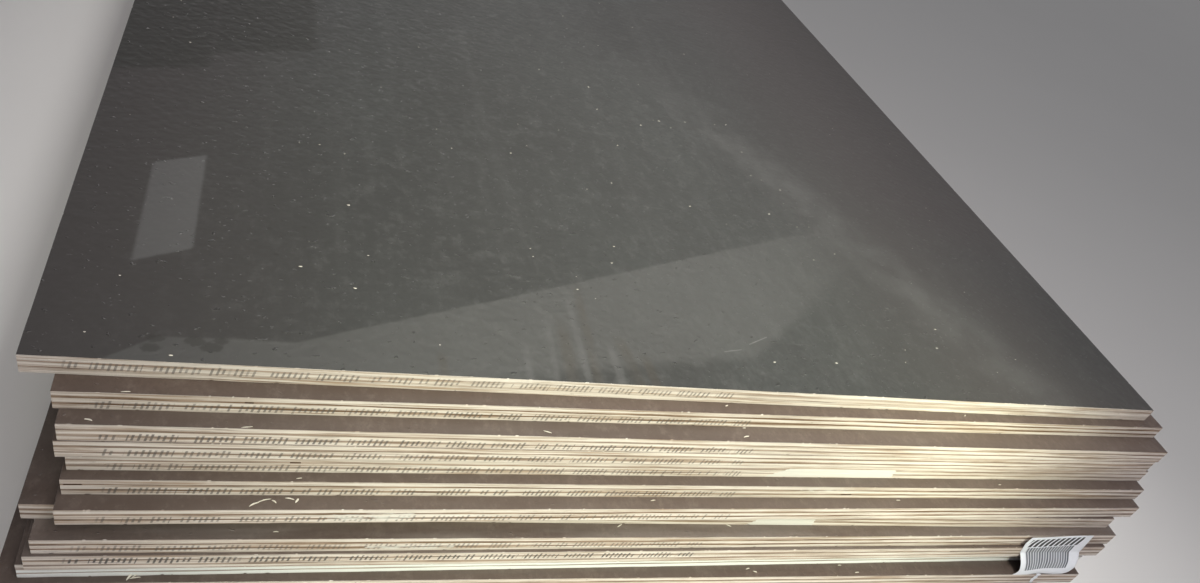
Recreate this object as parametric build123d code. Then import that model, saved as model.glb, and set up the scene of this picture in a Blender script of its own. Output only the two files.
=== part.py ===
from build123d import *

import os
from math import sin
from typing import NamedTuple

# A pile of coated plywood sheets, with the paper tag of the unit stuck to its near end.
# Millimetres. Z is up, Y runs along the sheets and the near end faces -Y.
# The origin is the middle of the bottom sheet's underside.
os.makedirs("parts", exist_ok=True)

# One sheet: nominal four by eight feet, three quarters of an inch thick.
SHEET_WIDE = 1219.2
SHEET_LONG = 2438.4
SHEET_THICK = 19.05

# Its seven plies: two thin face veneers, two core plies with their grain along the sheet,
# and three thicker cross plies that share what is left.
FACE_PLY = 0.6
LONG_PLY = 2.2
CROSS_PLY = (SHEET_THICK - 2 * FACE_PLY - 2 * LONG_PLY) / 3
LAYUP = [FACE_PLY, CROSS_PLY, LONG_PLY, CROSS_PLY, LONG_PLY, CROSS_PLY, FACE_PLY]

# The pile, counted from the top sheet down.
SHEET_COUNT = 22


class Lie(NamedTuple):
    """How a sheet lies: its near edge's middle slid right and back, and its turn in degrees."""

    right: float
    back: float
    turn: float


# The sheets in view, top one first, against the square bottom sheet.
LIES_IN_VIEW = [
    Lie(0.0, 60.0, 0.0),
    Lie(24.0, 45.0, 0.35),
    Lie(28.0, 24.5, -0.05),
    Lie(25.0, 24.5, 0.0),
    Lie(31.0, 26.0, -0.1),
    Lie(27.5, 13.5, -0.35),
    Lie(24.0, -1.5, -0.25),
    Lie(-6.0, 7.5, -1.4),
    Lie(3.5, -9.5, -0.9),
    Lie(-3.0, -13.0, -1.0),
    Lie(-11.0, -6.5, -0.9),
    Lie(-29.0, -20.5, -1.7),
]

# Further down the sheets wander less and less, and the bottom one lies square.
WANDER_RIGHT = 16.0
WANDER_BACK = 9.0
WANDER_TURN = 0.5
WANDER_STEP = 2.2

# Gaps between the long core plies' veneers, which open in a sheet's near edge.
GAP_DEPTH = 60.0


class CoreGap(NamedTuple):
    """An open joint in one ply of one sheet, along the near edge from its left end.

    Plies count from 0 at the underside, so the long core plies are 2 and 4.
    """

    sheet: int
    ply: int
    start: float
    wide: float


CORE_GAPS = [
    CoreGap(sheet=2, ply=4, start=138.0, wide=7.0),
    CoreGap(sheet=5, ply=4, start=170.0, wide=9.0),
    CoreGap(sheet=6, ply=2, start=755.0, wide=14.0),
    CoreGap(sheet=6, ply=4, start=2.5, wide=13.0),
    CoreGap(sheet=10, ply=4, start=968.0, wide=62.0),
]

# The tag: stuck to one sheet's near edge, it stands up above that sheet, and below it curls
# out until its foot rests on a lower sheet that sticks out further.
TAG_WIDE = 101.6
TAG_THICK = 0.3
TAG_SHEET = 10
TAG_FOOT_SHEET = 12
TAG_FROM_RIGHT = 42.0
TAG_STANDS_UP = 26.0
TAG_FOOT_OUT = 14.0


def wander(number):
    """The lie of a sheet below those in view."""
    above_floor = SHEET_COUNT - number
    share = above_floor / (SHEET_COUNT - len(LIES_IN_VIEW))
    swing = share * sin(WANDER_STEP * above_floor)
    return Lie(WANDER_RIGHT * swing, WANDER_BACK * share, WANDER_TURN * swing)


def lie_of(number):
    """How the sheet with this number from the top lies."""
    if number <= len(LIES_IN_VIEW):
        return LIES_IN_VIEW[number - 1]
    return wander(number)


def underside_of(number):
    """The height of a sheet's underside: the sheets rest face to face."""
    return (SHEET_COUNT - number) * SHEET_THICK


def place_of(number):
    """Where a sheet's own frame sits: the middle of its near edge, at its underside."""
    lie = lie_of(number)
    near_edge = lie.back - SHEET_LONG / 2
    return Pos(lie.right, near_edge, underside_of(number)) * Rot(0, 0, lie.turn)


def core_gap(gap):
    """The room of an open joint, one ply high, in its sheet's own frame."""
    ply_low = sum(LAYUP[: gap.ply])
    corner = Pos(gap.start - SHEET_WIDE / 2, 0, ply_low)
    room = Box(gap.wide, GAP_DEPTH, LAYUP[gap.ply], align=(Align.MIN, Align.MIN, Align.MIN))
    return corner * room


def sheet(number):
    """One sheet, with its core gaps, where it lies in the pile."""
    slab = Box(SHEET_WIDE, SHEET_LONG, SHEET_THICK, align=(Align.CENTER, Align.MIN, Align.MIN))
    for gap in CORE_GAPS:
        if gap.sheet == number:
            slab -= core_gap(gap)
    return place_of(number) * slab


def tag_profile():
    """The tag seen from its end: X is out from the edge it is stuck to, Y is up."""
    stuck_from = SHEET_THICK / 2
    top = SHEET_THICK + TAG_STANDS_UP
    foot = underside_of(TAG_FOOT_SHEET - 1) - underside_of(TAG_SHEET)
    back_line = Line((0, top), (0, stuck_from))
    back_curl = Spline(
        (0, stuck_from),
        (TAG_FOOT_OUT * 0.6, (stuck_from + foot) / 2),
        (TAG_FOOT_OUT, foot),
        tangents=[(0, -1), (0.2, -1)],
    )
    front_line = Pos(TAG_THICK, 0) * back_line
    front_curl = Pos(TAG_THICK, 0) * back_curl
    head = Line((0, top), (TAG_THICK, top))
    sole = Line((TAG_FOOT_OUT, foot), (TAG_FOOT_OUT + TAG_THICK, foot))
    return make_face([head, back_line, back_curl, sole, front_curl, front_line])


def unit_tag():
    """The tag, stuck to its sheet's near edge."""
    profile = Plane(origin=(0, 0, 0), x_dir=(0, -1, 0), z_dir=(-1, 0, 0)) * tag_profile()
    label = extrude(profile, TAG_WIDE)
    right_end = SHEET_WIDE / 2 - TAG_FROM_RIGHT
    return place_of(TAG_SHEET) * Pos(right_end, 0, 0) * label


def save(shape, node):
    """Write one piece to its own file."""
    shape.label = node
    export_step(shape, f"parts/{node}.step")


for number in range(1, SHEET_COUNT + 1):
    save(sheet(number), f"sheet_{number:02d}")
save(unit_tag(), "unit_tag")
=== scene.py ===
# %% [markdown]
# The pile of coated plywood comes in as plain solids: 22 slabs and a paper tag. They fix
# where every sheet lies, so nothing is placed by eye. Here each slab gets a dressed sheet
# with real plies, a saw-cut edge and a film face, and each dressed sheet reads its place
# from its slab. The bare solids are kept, but hidden.

from math import radians
from typing import NamedTuple

import bpy
import numpy as np
from mathutils import Matrix, Vector


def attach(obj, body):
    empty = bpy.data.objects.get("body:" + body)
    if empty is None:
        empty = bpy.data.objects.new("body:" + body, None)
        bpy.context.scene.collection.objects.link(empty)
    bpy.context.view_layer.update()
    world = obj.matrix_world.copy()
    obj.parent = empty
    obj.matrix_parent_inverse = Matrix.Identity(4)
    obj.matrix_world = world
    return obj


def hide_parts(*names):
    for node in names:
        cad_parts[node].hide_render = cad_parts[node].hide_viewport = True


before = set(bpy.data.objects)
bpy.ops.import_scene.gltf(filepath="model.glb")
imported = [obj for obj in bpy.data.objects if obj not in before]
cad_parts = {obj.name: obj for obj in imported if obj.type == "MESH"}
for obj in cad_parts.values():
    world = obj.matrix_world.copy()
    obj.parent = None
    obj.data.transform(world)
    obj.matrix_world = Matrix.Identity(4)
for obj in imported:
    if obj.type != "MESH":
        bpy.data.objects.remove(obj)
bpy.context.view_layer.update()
sheet_names = sorted(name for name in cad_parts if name.startswith("sheet_"))

# %% [markdown]
# The photograph looks down on the near left corner with the picture tilted. A camera is
# a place, a turn and a focal length. The turn is built from four plain ones: level the
# camera towards the far end, roll it, tip it down, then swing it to the right. The small
# shift lifts the picture a little, as a cropped photograph does.

# %% Put the camera where the photograph was taken
camera_data = bpy.data.cameras.new("camera")
camera_data.sensor_width = 36.0
camera_data.lens = 26.433
camera_data.shift_y = 0.05875
camera = bpy.data.objects.new("camera", camera_data)
bpy.context.scene.collection.objects.link(camera)
level = Matrix.Rotation(radians(90.0), 4, "X")
roll = Matrix.Rotation(radians(-21.67), 4, "Y")
tip = Matrix.Rotation(radians(-38.98), 4, "X")
swing = Matrix.Rotation(radians(-27.74), 4, "Z")
camera.matrix_world = Matrix.Translation((-0.4397, -1.7193, 0.9583)) @ swing @ tip @ roll @ level
bpy.context.scene.camera = camera
print("camera at", tuple(round(v, 3) for v in camera.location))

# %% [markdown]
# A material is a recipe of nodes. Writing each node by hand takes many lines, so two
# helpers do it: one adds a node and links or sets its inputs, the other does one sum.
# The rest are short names for the nodes that come back most: a soft step, a patchy
# noise, a mix of two colours and a number that the mesh carries.
# Every recipe below is built from these, with no pictures, so it has no seams and no
# fixed sharpness.

# %% Helpers for recipes
def new_recipe(name):
    """An empty material, with its surface shader."""
    material = bpy.data.materials.new(name)
    material.use_nodes = True
    shader = material.node_tree.nodes["Principled BSDF"]
    return material, material.node_tree, shader


def fill(tree, socket, value):
    """Link a socket to another node's output, or set it."""
    if isinstance(value, bpy.types.NodeSocket):
        tree.links.new(value, socket)
    elif hasattr(value, "__len__") and len(value) == 3 and socket.type == "RGBA":
        socket.default_value = (*value, 1.0)
    else:
        socket.default_value = value


def put(tree, kind, inputs, **settings):
    """Add a node of one kind; an input is a value or another node's output."""
    node = tree.nodes.new("ShaderNode" + kind)
    for setting, value in settings.items():
        setattr(node, setting, value)
    for name, value in inputs.items():
        fill(tree, node.inputs[name], value)
    return node


def work(tree, operation, first, second=0.0, third=0.0):
    """One sum with up to three numbers."""
    inputs = {0: first, 1: second, 2: third}
    return put(tree, "Math", inputs, operation=operation).outputs[0]


def times(tree, first, second):
    """The product of two numbers."""
    return work(tree, "MULTIPLY", first, second)


def scaled(tree, value, by, plus):
    """A number times another, plus a third."""
    return work(tree, "MULTIPLY_ADD", value, by, plus)


def minus(tree, first, second):
    """The first number less the second."""
    return work(tree, "SUBTRACT", first, second)


def ramp(tree, value, low, high):
    """0 up to low, 1 from high on, and a soft rise between; it falls if low is above high."""
    inputs = {"Value": value, "From Min": low, "From Max": high}
    return put(tree, "MapRange", inputs, interpolation_type="SMOOTHSTEP").outputs["Result"]


def stretch(tree, where, x, y, z):
    """Scale a place, so that a pattern comes out long one way and short another."""
    inputs = {0: where, 1: (x, y, z)}
    return put(tree, "VectorMath", inputs, operation="MULTIPLY").outputs[0]


def cloud(tree, where, seed, size=1.0, detail=2.0, rough=0.5):
    """Soft random patches from 0 to 1; a seed gives each sheet its own."""
    inputs = {"Vector": where, "W": seed, "Scale": size, "Detail": detail, "Roughness": rough}
    return put(tree, "TexNoise", inputs, noise_dimensions="4D").outputs["Fac"]


def tint(tree, share, first, second):
    """Go from the first colour to the second as the share goes from 0 to 1."""
    inputs = {0: share, 6: first, 7: second}
    return put(tree, "Mix", inputs, data_type="RGBA", clamp_factor=True).outputs[2]


def mark(tree, name, part="Fac"):
    """A number or vector that the mesh carries at each corner."""
    return put(tree, "Attribute", {}, attribute_name=name).outputs[part]


# %% [markdown]
# The coated face is a thin resin film pressed on the face veneer: taupe brown, half
# glossy and slightly rippled like orange peel. The lower sheets show it clean and brown;
# on some the film is painted patchily lighter, by a share set per sheet, as painted light
# on their ledges. The top sheet has lain open, so dust greys it. A bump node gives the
# ripple: it bends the light and not the shape, which is right for waves of some hundredths
# of a millimetre.

# %% The film face
def film_recipe(name, brown, dark, dusty):
    """The coated face, on a place in the sheet's own metres."""
    material, tree, shader = new_recipe(name)
    place = put(tree, "TexCoord", {}).outputs["Object"]
    seed = mark(tree, "seed")
    broad = cloud(tree, stretch(tree, place, 1.0, 0.6, 1.0), seed, 3.5, 3.0)
    streaks = cloud(tree, stretch(tree, place, 45.0, 2.2, 1.0), seed, 1.0, 3.0, 0.6)
    grime = cloud(tree, place, seed, 28.0, 4.0, 0.6)
    colour = tint(tree, ramp(tree, broad, 0.3, 0.7), brown, dark)
    colour = tint(tree, times(tree, ramp(tree, streaks, 0.45, 0.8), 0.35), colour, dusty)
    colour = tint(tree, times(tree, ramp(tree, grime, 0.45, 0.7), 0.55), colour, dark)
    mottle = cloud(tree, stretch(tree, place, 75.0, 55.0, 1.0), seed, 1.0, 5.0, 0.7)
    colour = tint(tree, times(tree, ramp(tree, mottle, 0.48, 0.66), 0.5), colour, dusty)
    fibre = cloud(tree, stretch(tree, place, 240.0, 170.0, 1.0), seed, 1.0, 3.0, 0.7)
    colour = tint(tree, times(tree, ramp(tree, fibre, 0.42, 0.68), 0.75), colour, dark)
    return material, tree, shader, place, seed, colour, grime


def finish_film(tree, shader, place, seed, colour, grime, lighter_share, ripple):
    """Gloss and ripple of the film; where its colour is made lighter, it is also duller."""
    fill(tree, shader.inputs["Base Color"], colour)
    gloss = scaled(tree, grime, 0.12, 0.34)
    gloss = scaled(tree, lighter_share, 0.1, gloss)
    fill(tree, shader.inputs["Roughness"], gloss)
    shader.inputs["Specular IOR Level"].default_value = 0.5
    peel = cloud(tree, place, seed, 95.0, 1.0)
    waves = cloud(tree, place, seed, 14.0, 2.0)
    blisters = ramp(tree, cloud(tree, stretch(tree, place, 150.0, 230.0, 1.0), seed, 1.0, 1.0), 0.68, 0.78)
    height = scaled(tree, blisters, 1.5, scaled(tree, waves, 0.6, peel))
    bump = put(tree, "Bump", {"Height": height, "Strength": 1.0, "Distance": ripple})
    fill(tree, shader.inputs["Normal"], bump.outputs["Normal"])


FILM_BROWN = (0.099, 0.0705, 0.0585)
FILM_DARK = (0.073, 0.052, 0.043)
FILM_PALE = (0.145, 0.113, 0.097)
FILM_PAINTED_LIGHT = (0.21, 0.184, 0.170)

film, tree, shader, place, seed, colour, grime = film_recipe(
    "film_face_brown", FILM_BROWN, FILM_DARK, FILM_PALE
)
# Painted light: on some sheets the film is made patchily lighter, by a share set per sheet, for the brighter
# light on their ledges.
dusty = cloud(tree, stretch(tree, place, 5.0, 30.0, 1.0), seed, 1.0, 4.0, 0.65)
dusty = times(tree, ramp(tree, dusty, 0.25, 0.75), mark(tree, "painted_film_light"))
colour = tint(tree, dusty, colour, FILM_PAINTED_LIGHT)
finish_film(tree, shader, place, seed, colour, grime, dusty, 0.0004)
print("film face:", len(tree.nodes), "nodes")

# %% [markdown]
# The top sheet's film has marks that the pile's others don't show. Its near part is
# lighter up to a slanting line; that lightening thins to the right and stops along the
# right front, which paints shade there. A broad lighter band that crosses the sheet is a
# painted sheen. A four-sided patch is lighter, two soft darker shapes at the left, further
# back, are painted shade, and there are drips and dots. Each is a soft-edged shape cut
# from the sheet's own x and y, so it stays put from every side.

# %% Shapes for marks on the top sheet
def box_mark(tree, x, y, corner, size, slant=0.0, soft=0.004):
    """1 inside a four-sided shape whose near and far sides slope, with soft sides."""
    sloped = scaled(tree, minus(tree, x, corner[0]), -slant, y)
    left = ramp(tree, x, corner[0] - soft, corner[0] + soft)
    right = ramp(tree, x, corner[0] + size[0] + soft, corner[0] + size[0] - soft)
    near = ramp(tree, sloped, corner[1] - soft, corner[1] + soft)
    far = ramp(tree, sloped, corner[1] + size[1] + soft, corner[1] + size[1] - soft)
    wide = times(tree, left, right)
    deep = times(tree, near, far)
    return times(tree, wide, deep)


def blot_mark(tree, x, y, wobble, middle, reach):
    """1 inside an uneven oval spot, fading at its rim."""
    right = work(tree, "DIVIDE", minus(tree, x, middle[0]), reach[0])
    back = work(tree, "DIVIDE", minus(tree, y, middle[1]), reach[1])
    away = put(tree, "VectorMath", {0: put(tree, "CombineXYZ", {"X": right, "Y": back}).outputs[0]},
               operation="LENGTH").outputs["Value"]
    return ramp(tree, work(tree, "ADD", away, wobble), 1.25, 0.75)


def run_mark(tree, x, y, foot, lean, reach, half):
    """1 along a run of damp or dust that starts at the near edge and thins out going back."""
    away = work(tree, "ABSOLUTE", minus(tree, scaled(tree, y, -lean, x), foot))
    wide = ramp(tree, away, half * 1.7, half * 0.3)
    return times(tree, wide, ramp(tree, y, reach, reach * 0.6))


# %% The top sheet's film
TOP_GREY = (0.0500, 0.0515, 0.0495)
TOP_DARK = (0.0390, 0.0385, 0.0370)
TOP_PALE = (0.080, 0.080, 0.0785)
TOP_SIDES = (0.0525, 0.0462, 0.0450)
LIGHTER_TOP_GREY = (0.087, 0.0855, 0.0835)
LIGHTER_PATCH_GREY = (0.105, 0.103, 0.103)
PAINTED_SHADE_DARK = (0.031, 0.030, 0.027)
RUN_DARK = (0.055, 0.048, 0.040)

top_film, tree, shader, place, seed, colour, grime = film_recipe(
    "film_face_top", TOP_GREY, TOP_DARK, TOP_PALE
)
spread = cloud(tree, place, seed, 9.0, 3.0)
parts = put(tree, "SeparateXYZ", {"Vector": place}).outputs
sides = work(tree, "MAXIMUM", ramp(tree, parts["X"], 0.75, 1.1), ramp(tree, parts["X"], 0.3, 0.0))
sides = times(tree, sides, ramp(tree, cloud(tree, place, seed, 2.0, 2.0), 0.2, 0.5))
colour = tint(tree, times(tree, sides, 0.8), colour, TOP_SIDES)
x = scaled(tree, spread, 0.012, parts["X"])
y = scaled(tree, spread, 0.012, parts["Y"])
# The film is lighter on its near part, up to a slanting line. This lightening is weaker towards the right,
# fades out at the right end and stops in a band along the right front; these are painted shade.
slope = scaled(tree, x, 0.432, -0.052)
foot = work(tree, "MINIMUM", scaled(tree, x, 0.8, -0.044), 0.036)
line = work(tree, "MAXIMUM", slope, foot)
under_line = ramp(tree, minus(tree, line, y), -0.002, 0.002)
front_shade_foot = scaled(tree, x, 0.19, -0.066)
front_shade_line = work(tree, "MAXIMUM", front_shade_foot, scaled(tree, x, 0.86, -0.517))
past_front_shade = minus(tree, y, front_shade_line)
lighter_share = times(tree, under_line, ramp(tree, x, 1.0, 0.7))
lighter_share = times(tree, lighter_share, ramp(tree, past_front_shade, -0.012, 0.010))
lightened_share = times(tree, lighter_share, scaled(tree, parts["X"], -0.35, 0.62))
colour = tint(tree, lightened_share, colour, LIGHTER_TOP_GREY)
# A lighter four-sided patch with soft, sloping sides.
lighter_patch = box_mark(tree, parts["X"], parts["Y"], (0.062, 0.126), (0.047, 0.162), 0.54, 0.0025)
colour = tint(tree, times(tree, lighter_patch, 0.75), colour, LIGHTER_PATCH_GREY)
# Painted shade: two soft darker four-sided shapes at the left of the sheet, further back.
shade = box_mark(tree, parts["X"], parts["Y"], (-0.02, 0.462), (0.118, 0.46), 0.39, 0.006)
far_shade = box_mark(tree, parts["X"], parts["Y"], (0.098, 0.547), (0.122, 0.42), 0.456, 0.006)
shade = work(tree, "MAXIMUM", shade, far_shade)
colour = tint(tree, times(tree, shade, 0.75), colour, PAINTED_SHADE_DARK)
# Painted sheen: a broad, patchy lighter band that crosses the sheet from its near right end, back and to the
# left.
painted_sheen_band = scaled(tree, minus(tree, 0.592, parts["Y"]), 0.44, 0.79)
painted_sheen_band = ramp(tree, work(tree, "ABSOLUTE", minus(tree, parts["X"], painted_sheen_band)), 0.075, 0.005)
painted_sheen_band = times(tree, painted_sheen_band, ramp(tree, parts["Y"], 0.9, 0.4))
painted_sheen_band = times(tree, painted_sheen_band, ramp(tree, cloud(tree, place, seed, 22.0, 5.0, 0.65), 0.3, 0.65))
colour = tint(tree, times(tree, painted_sheen_band, 0.6), colour, LIGHTER_TOP_GREY)
print("dust, a label's place and a shade: done")

# %% Blots, runs and scratches on the top sheet
BLOT_DARK = (0.030, 0.028, 0.025)
SCRATCH_PALE = (0.16, 0.16, 0.155)
# Each blot's middle in metres and its reach in millimetres.
BLOTS = [
    ((0.162, 0.173), 2.2), ((0.174, 0.195), 2.6), ((0.185, 0.184), 1.9), ((0.206, 0.203), 2.4),
    ((0.207, 0.188), 1.8), ((0.218, 0.198), 2.2), ((0.206, 0.170), 1.7), ((0.181, 0.154), 2.2),
    ((1.041, 0.807), 4.0), ((1.074, 0.762), 3.0), ((1.046, 0.668), 3.0), ((1.094, 0.645), 3.5),
    ((0.121, 0.026), 8.0), ((0.134, 0.020), 8.5), ((0.141, 0.028), 6.0), ((0.089, 0.016), 7.5),
    ((0.092, 0.027), 6.5), ((0.636, 0.032), 2.2), ((0.072, 0.565), 2.4), ((0.056, 0.104), 2.0),
]
# Each run's foot, lean, reach and half width, and whether it is dark.
RUNS = [
    (0.431, 0.07, 0.10, 0.0030, False), (0.463, 0.03, 0.16, 0.0034, False),
    (0.447, 0.05, 0.10, 0.0060, True), (0.472, 0.06, 0.17, 0.0045, True),
    (0.325, 0.00, 0.035, 0.0040, True), (0.516, -0.10, 0.08, 0.0060, True),
    (0.533, -0.05, 0.05, 0.0050, True), (0.405, 0.05, 0.06, 0.0035, False),
    (0.497, 0.0, 0.07, 0.0040, False),
]
wobble = scaled(tree, cloud(tree, place, seed, 260.0, 3.0, 0.6), 1.5, -0.75)
blots = 0.0
for middle, radius in BLOTS:
    reach = (radius * 0.001, radius * 0.0007)
    blots = work(tree, "MAXIMUM", blots, blot_mark(tree, parts["X"], parts["Y"], wobble, middle, reach))
colour = tint(tree, times(tree, blots, 0.55), colour, BLOT_DARK)
patchy = ramp(tree, cloud(tree, stretch(tree, place, 60.0, 25.0, 1.0), seed, 1.0, 3.0), 0.2, 0.6)
for foot_x, lean, reach, half, dark in RUNS:
    run_share = run_mark(tree, parts["X"], parts["Y"], foot_x, lean, reach, half)
    share = times(tree, times(tree, run_share, patchy), 0.5 if dark else 0.45)
    colour = tint(tree, share, colour, RUN_DARK if dark else LIGHTER_PATCH_GREY)
scratch = box_mark(tree, parts["X"], parts["Y"], (0.664, 0.0715), (0.028, 0.0012), 0.52, 0.0006)
short_scratch = box_mark(tree, parts["X"], parts["Y"], (0.628, 0.057), (0.023, 0.0010), 0.22, 0.0006)
hair = cloud(tree, stretch(tree, place, 9.0, 420.0, 1.0), seed, 1.0, 2.0)
hairs = times(tree, ramp(tree, hair, 0.72, 0.76), 0.4)
scratches = work(tree, "MAXIMUM", work(tree, "MAXIMUM", scratch, short_scratch), hairs)
colour = tint(tree, times(tree, scratches, 0.8), colour, SCRATCH_PALE)
finish_film(tree, shader, place, seed, colour, grime, lighter_share, 0.0010)
print("top film:", len(tree.nodes), "nodes")

# %% [markdown]
# The sheet's edge shows how plywood is made: veneers glued with their grain crossed.
# A ply cut along its grain is cream with long streaks; a ply cut across it shows brown
# pored end grain. The mesh says at each corner which grain it shows, how near a glue
# line it is, how strong the mill's ink is, and where the wood is freshly torn. The
# recipe mixes from those. The mill's printed line is only slanted strokes here.

# %% The saw-cut edge: wood
PALE_GRAIN = (0.70, 0.64, 0.59)
TAN_GRAIN = (0.37, 0.275, 0.205)
HEART_GRAIN = (0.26, 0.165, 0.10)
END_GRAIN = (0.185, 0.12, 0.077)
PORE = (0.09, 0.052, 0.032)
GLUE_LINE = (0.085, 0.045, 0.025)
HANDLED = (0.235, 0.185, 0.135)
WHITE_PLY = (0.86, 0.88, 0.87)
MILL_INK = (0.09, 0.08, 0.075)
TORN_PALE = (0.66, 0.64, 0.61)
TORN_TAN = (0.56, 0.53, 0.49)


def edge_wood(tree, run, seed):
    """Streaked side grain, pored end grain, and the cracks that run along both."""
    streak = cloud(tree, stretch(tree, run, 7.0, 480.0, 1.0), seed, 1.0, 5.0, 0.72)
    broad = cloud(tree, stretch(tree, run, 2.5, 150.0, 1.0), seed, 1.0, 2.0)
    pores = cloud(tree, stretch(tree, run, 500.0, 800.0, 1.0), seed, 1.0, 2.0)
    patchy = cloud(tree, stretch(tree, run, 14.0, 110.0, 1.0), seed, 1.0, 3.0, 0.6)
    thread = cloud(tree, stretch(tree, run, 12.0, 900.0, 1.0), seed, 1.0, 3.0, 0.6)
    fleck = cloud(tree, stretch(tree, run, 130.0, 600.0, 1.0), seed, 1.0, 3.0, 0.6)
    long_wood = tint(tree, ramp(tree, streak, 0.44, 0.64), PALE_GRAIN, TAN_GRAIN)
    heart = times(tree, ramp(tree, broad, 0.55, 0.75), 0.45)
    long_wood = tint(tree, heart, long_wood, HEART_GRAIN)
    end_wood = tint(tree, times(tree, ramp(tree, pores, 0.3, 0.7), 0.5), END_GRAIN, PORE)
    end_wood = tint(tree, ramp(tree, patchy, 0.42, 0.68), end_wood, TAN_GRAIN)
    cracks = times(tree, ramp(tree, thread, 0.58, 0.70), 0.75)
    cracks = work(tree, "MAXIMUM", cracks, times(tree, ramp(tree, fleck, 0.68, 0.75), 0.85))
    return long_wood, end_wood, cracks, streak, pores


# %% The saw-cut edge: printed strokes
STROKE_PITCH = 0.0046
WORD_PITCH = 0.0425


def printed_strokes(tree, parts, seed, middle):
    """Rows of slanted strokes in groups, 1 where there is ink."""
    up = minus(tree, parts["Y"], middle)
    along = scaled(tree, up, -0.3, parts["X"])
    count = work(tree, "DIVIDE", along, STROKE_PITCH)
    number = work(tree, "ADD", work(tree, "FLOOR", count), times(tree, seed, 31.0))
    chance = put(tree, "TexWhiteNoise", {"W": number}, noise_dimensions="1D").outputs
    more = put(tree, "SeparateColor", {"Color": chance["Color"]}).outputs
    centre = scaled(tree, more["Red"], 0.2, 0.4)
    away = work(tree, "ABSOLUTE", minus(tree, work(tree, "FRACT", count), centre))
    stroke = ramp(tree, away, 0.28, 0.15)
    tall = scaled(tree, more["Green"], 0.0019, 0.0026)
    above = scaled(tree, more["Blue"], 0.0014, -0.0007)
    height = work(tree, "ABSOLUTE", minus(tree, up, above))
    height = ramp(tree, minus(tree, height, tall), 0.0005, -0.0005)
    word = work(tree, "FRACT", work(tree, "DIVIDE", along, WORD_PITCH))
    printed = times(tree, ramp(tree, word, 0.13, 0.15), ramp(tree, chance["Value"], 0.05, 0.1))
    return times(tree, times(tree, stroke, height), printed)


# %% The saw-cut edge: recipe
edge, tree, shader = new_recipe("ply_edge")
run = put(tree, "UVMap", {}, uv_map="along_edge").outputs["UV"]
seed = mark(tree, "seed")
parts = put(tree, "SeparateXYZ", {"Vector": run}).outputs
long_wood, end_wood, cracks, streak, pores = edge_wood(tree, run, seed)
end_share = times(tree, mark(tree, "end_grain"), mark(tree, "brownness"))
wood = tint(tree, end_share, long_wood, end_wood)
glue_dark = scaled(tree, streak, 0.8, 0.2)
wood = tint(tree, times(tree, mark(tree, "glue"), glue_dark), wood, GLUE_LINE)
wood = tint(tree, cracks, wood, PORE)
handling = cloud(tree, stretch(tree, run, 9.0, 40.0, 1.0), seed, 1.0, 4.0, 0.65)
wood = tint(tree, times(tree, ramp(tree, handling, 0.5, 0.75), 0.3), wood, HANDLED)
white_plies = scaled(tree, mark(tree, "end_grain"), -0.8, 1.0)
lower_plies = scaled(tree, ramp(tree, parts["Y"], 0.0116, 0.0098), 0.8, 0.2)
white_plies = times(tree, mark(tree, "whiteness"), white_plies)
white_plies = times(tree, white_plies, lower_plies)
wood = tint(tree, white_plies, wood, WHITE_PLY)
worn = ramp(tree, cloud(tree, stretch(tree, run, 60.0, 300.0, 1.0), seed, 1.0, 2.0), 0.75, 0.4)
worn = scaled(tree, worn, 0.5, 0.5)
strokes = printed_strokes(tree, parts, seed, mark(tree, "ink_height"))
ink = times(tree, times(tree, strokes, mark(tree, "ink")), worn)
wood = tint(tree, ink, wood, MILL_INK)
ragged = cloud(tree, stretch(tree, run, 55.0, 420.0, 1.0), seed, 1.0, 3.0, 0.6)
torn = work(tree, "ADD", mark(tree, "fresh"), scaled(tree, ragged, 1.1, -0.55))
torn = times(tree, ramp(tree, torn, 0.40, 0.62), ramp(tree, mark(tree, "fresh"), 0.05, 0.7))
fresh_wood = tint(tree, ramp(tree, streak, 0.4, 0.8), TORN_PALE, TORN_TAN)
wood = tint(tree, torn, wood, fresh_wood)
fill(tree, shader.inputs["Base Color"], wood)
fill(tree, shader.inputs["Roughness"], scaled(tree, streak, 0.15, 0.7))
shader.inputs["Specular IOR Level"].default_value = 0.3
saw = cloud(tree, stretch(tree, run, 500.0, 60.0, 1.0), seed, 1.0, 1.0)
height = work(tree, "ADD", work(tree, "ADD", streak, saw), pores)
bump = put(tree, "Bump", {"Height": height, "Strength": 0.6, "Distance": 0.0004})
fill(tree, shader.inputs["Normal"], bump.outputs["Normal"])
print("ply edge:", len(tree.nodes), "nodes")

# %% [markdown]
# Each slab already knows where its sheet lies. Its underside's corners give the sheet's
# own axes: x along the near edge, y back along the side, z up. Open joints in the core
# show as points of the slab's near edge that are neither on its top nor its underside.

# %% Read a sheet's place from its slab
MM = 0.001


class Slab(NamedTuple):
    place: Matrix
    wide: float
    long: float
    thick: float
    inner: np.ndarray


def read_slab(name):
    """Axes, size and inner points of one slab."""
    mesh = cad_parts[name].data
    points = np.empty(3 * len(mesh.vertices))
    mesh.vertices.foreach_get("co", points)
    points = points.reshape(-1, 3)
    low, high = points[:, 2].min(), points[:, 2].max()
    under = points[points[:, 2] < low + 0.1 * MM]
    near_left = under[np.argmin(under[:, 0] + under[:, 1])]
    near_right = under[np.argmax(under[:, 0] - under[:, 1])]
    far_left = under[np.argmin(under[:, 0] - under[:, 1])]
    along = Vector(near_right - near_left)
    back = Vector(far_left - near_left)
    place = Matrix((along.normalized(), back.normalized(), Vector((0, 0, 1)))).transposed().to_4x4()
    place.translation = Vector(near_left)
    own = points @ np.array(place.to_3x3()) - near_left @ np.array(place.to_3x3())
    inside = own[(own[:, 2] > 1.0 * MM) & (own[:, 2] < high - low - 1.0 * MM)]
    return Slab(place, along.length, back.length, high - low, inside)


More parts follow.
